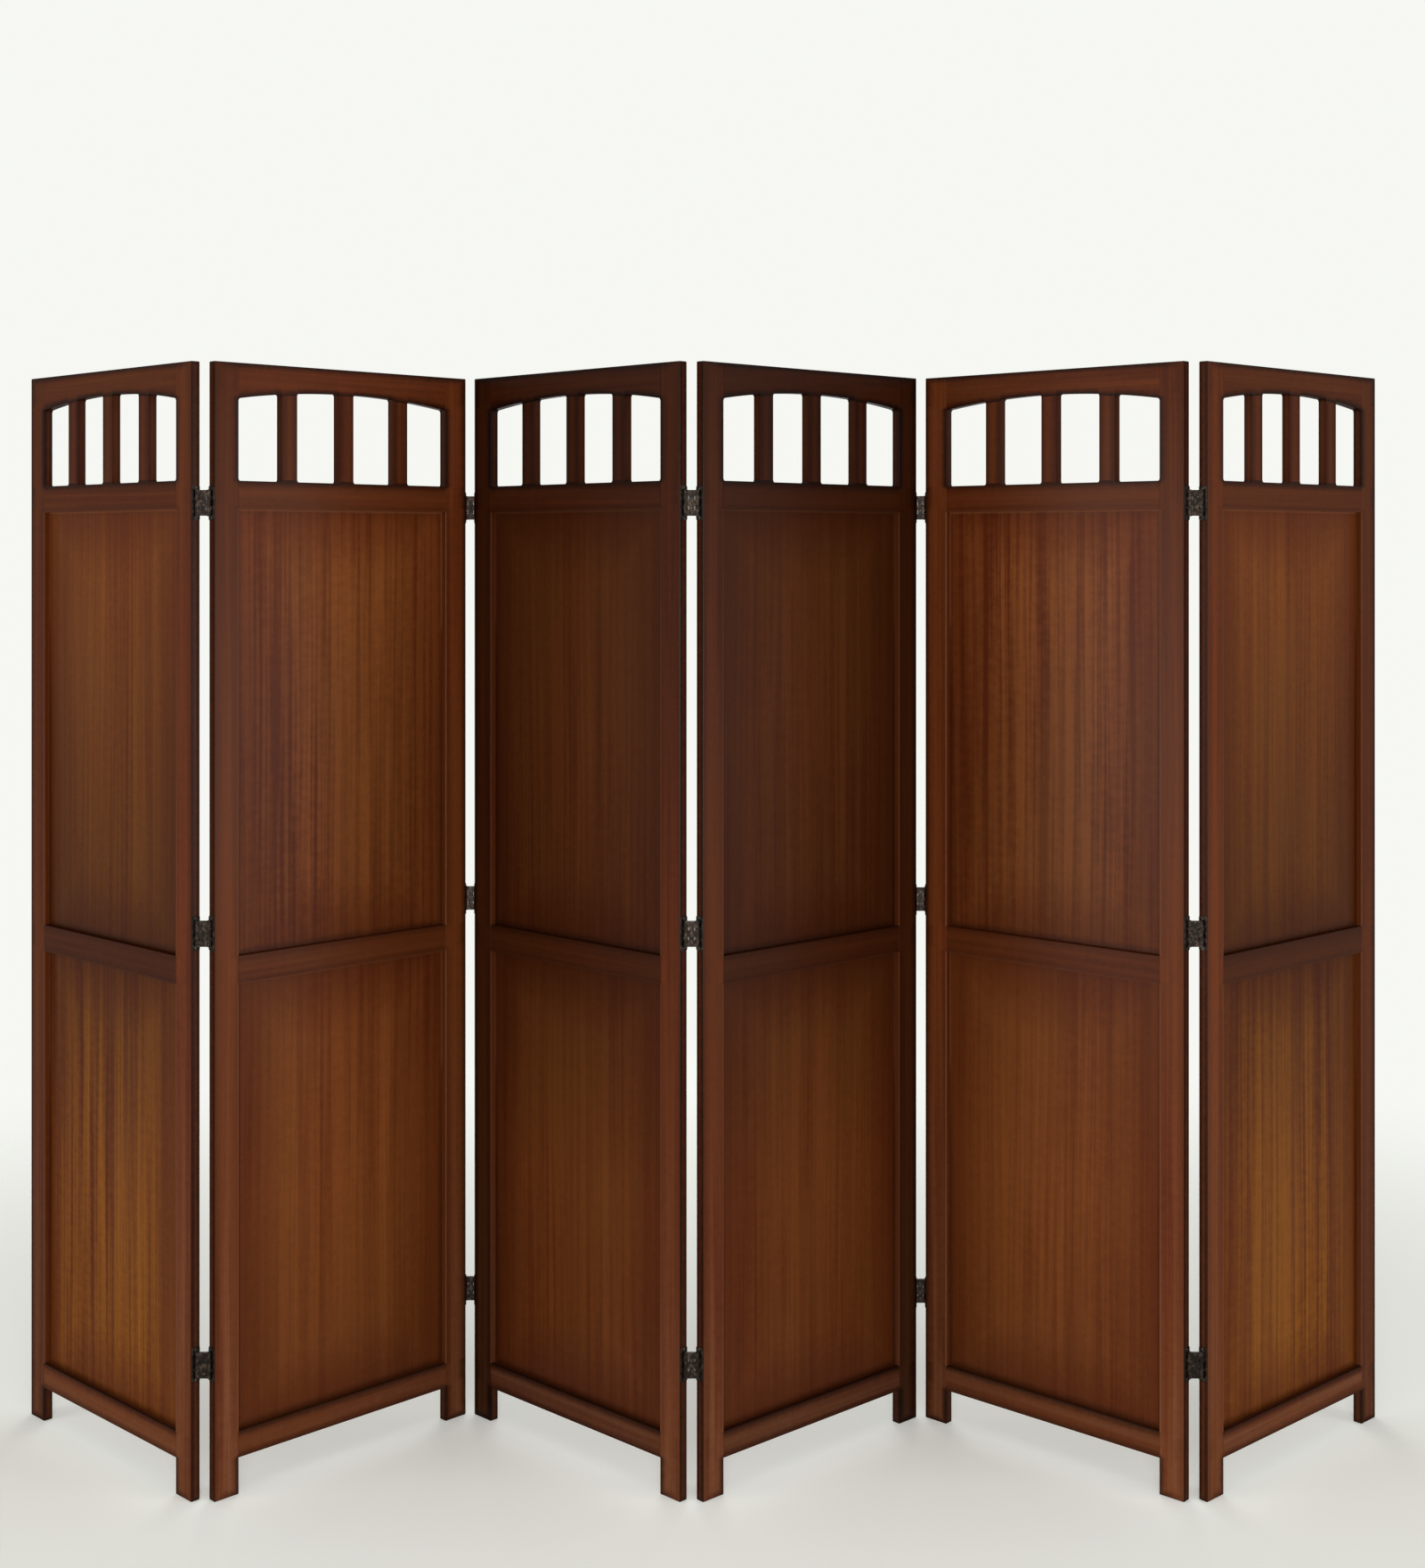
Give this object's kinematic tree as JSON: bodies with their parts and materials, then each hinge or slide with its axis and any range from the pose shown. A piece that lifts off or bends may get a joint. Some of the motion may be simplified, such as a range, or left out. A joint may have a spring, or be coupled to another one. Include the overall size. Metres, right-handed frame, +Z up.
{
  "type": "folding screen room divider",
  "caption": "Zigzag folding screen of framed wooden panels with an arched window grille, joined by double-acting link hinges, to divide a room.",
  "frame": {"origin": "on the floor, under the middle of the standing screen's box", "axes": "+X along the screen from its left end to its right end, +Y from the viewer to the back, +Z up"},
  "size_m": [2.3324, 0.3626, 1.8],
  "materials": {
    "frame_wood": "satin",
    "board_wood": "satin",
    "hinge_metal": "satin",
    "screw_metal": "satin"
  },
  "bodies": {
    "panel_1": {"panel_1_stiles": "frame_wood", "panel_1_top_rail": "frame_wood", "panel_1_grille_rail": "frame_wood", "panel_1_middle_rail": "frame_wood", "panel_1_bottom_rail": "frame_wood", "panel_1_slats": "frame_wood", "panel_1_boards": "board_wood", "panel_1_hinge_leaves": "hinge_metal", "panel_1_hinge_screws": "screw_metal"},
    "panel_2": {"panel_2_stiles": "frame_wood", "panel_2_top_rail": "frame_wood", "panel_2_grille_rail": "frame_wood", "panel_2_middle_rail": "frame_wood", "panel_2_bottom_rail": "frame_wood", "panel_2_slats": "frame_wood", "panel_2_boards": "board_wood", "panel_2_hinge_leaves": "hinge_metal", "panel_2_hinge_screws": "screw_metal"},
    "panel_3": {"panel_3_stiles": "frame_wood", "panel_3_top_rail": "frame_wood", "panel_3_grille_rail": "frame_wood", "panel_3_middle_rail": "frame_wood", "panel_3_bottom_rail": "frame_wood", "panel_3_slats": "frame_wood", "panel_3_boards": "board_wood", "panel_3_hinge_leaves": "hinge_metal", "panel_3_hinge_screws": "screw_metal"},
    "panel_4": {"panel_4_stiles": "frame_wood", "panel_4_top_rail": "frame_wood", "panel_4_grille_rail": "frame_wood", "panel_4_middle_rail": "frame_wood", "panel_4_bottom_rail": "frame_wood", "panel_4_slats": "frame_wood", "panel_4_boards": "board_wood", "panel_4_hinge_leaves": "hinge_metal", "panel_4_hinge_screws": "screw_metal"},
    "panel_5": {"panel_5_stiles": "frame_wood", "panel_5_top_rail": "frame_wood", "panel_5_grille_rail": "frame_wood", "panel_5_middle_rail": "frame_wood", "panel_5_bottom_rail": "frame_wood", "panel_5_slats": "frame_wood", "panel_5_boards": "board_wood", "panel_5_hinge_leaves": "hinge_metal", "panel_5_hinge_screws": "screw_metal"},
    "panel_6": {"panel_6_stiles": "frame_wood", "panel_6_top_rail": "frame_wood", "panel_6_grille_rail": "frame_wood", "panel_6_middle_rail": "frame_wood", "panel_6_bottom_rail": "frame_wood", "panel_6_slats": "frame_wood", "panel_6_boards": "board_wood", "panel_6_hinge_leaves": "hinge_metal", "panel_6_hinge_screws": "screw_metal"},
    "links_1_2": {"hinge_1_2_links_and_pins": "hinge_metal"},
    "links_2_3": {"hinge_2_3_links_and_pins": "hinge_metal"},
    "links_3_4": {"hinge_3_4_links_and_pins": "hinge_metal"},
    "links_4_5": {"hinge_4_5_links_and_pins": "hinge_metal"},
    "links_5_6": {"hinge_5_6_links_and_pins": "hinge_metal"}
  },
  "joints": [
    {"name": "pins_1_2_at_panel_2", "type": "hinge", "parent": "panel_2", "child": "links_1_2", "pos_m": [-0.77994, -0.17755, 0], "axis": [0, 0, -1], "range_deg": [-134, 46]},
    {"name": "pins_1_2_at_panel_1", "type": "hinge", "parent": "links_1_2", "child": "panel_1", "pos_m": [-0.79754, -0.17755, 0], "axis": [0, 0, -1], "range_deg": [-134, 46]},
    {"name": "pins_2_3_at_panel_3", "type": "hinge", "parent": "panel_3", "child": "links_2_3", "pos_m": [-0.39461, 0.17755, 0], "axis": [0, 0, 1], "range_deg": [-134, 46]},
    {"name": "pins_2_3_at_panel_2", "type": "hinge", "parent": "links_2_3", "child": "panel_2", "pos_m": [-0.41221, 0.17755, 0], "axis": [0, 0, 1], "range_deg": [-134, 46]},
    {"name": "pins_3_4_at_panel_3", "type": "hinge", "parent": "panel_3", "child": "links_3_4", "pos_m": [-0.02688, -0.17755, 0], "axis": [0, 0, 1], "range_deg": [-134, 46]},
    {"name": "pins_3_4_at_panel_4", "type": "hinge", "parent": "links_3_4", "child": "panel_4", "pos_m": [-0.00928, -0.17755, 0], "axis": [0, 0, 1], "range_deg": [-132, 48]},
    {"name": "pins_4_5_at_panel_4", "type": "hinge", "parent": "panel_4", "child": "links_4_5", "pos_m": [0.37061, 0.1645, 0], "axis": [0, 0, -1], "range_deg": [-132, 48]},
    {"name": "pins_4_5_at_panel_5", "type": "hinge", "parent": "links_4_5", "child": "panel_5", "pos_m": [0.38821, 0.1645, 0], "axis": [0, 0, -1], "range_deg": [-132, 48]},
    {"name": "pins_5_6_at_panel_5", "type": "hinge", "parent": "panel_5", "child": "links_5_6", "pos_m": [0.76811, -0.17755, 0], "axis": [0, 0, 1], "range_deg": [-132, 48]},
    {"name": "pins_5_6_at_panel_6", "type": "hinge", "parent": "links_5_6", "child": "panel_6", "pos_m": [0.78571, -0.17755, 0], "axis": [0, 0, 1], "range_deg": [-132, 48]}
  ]
}
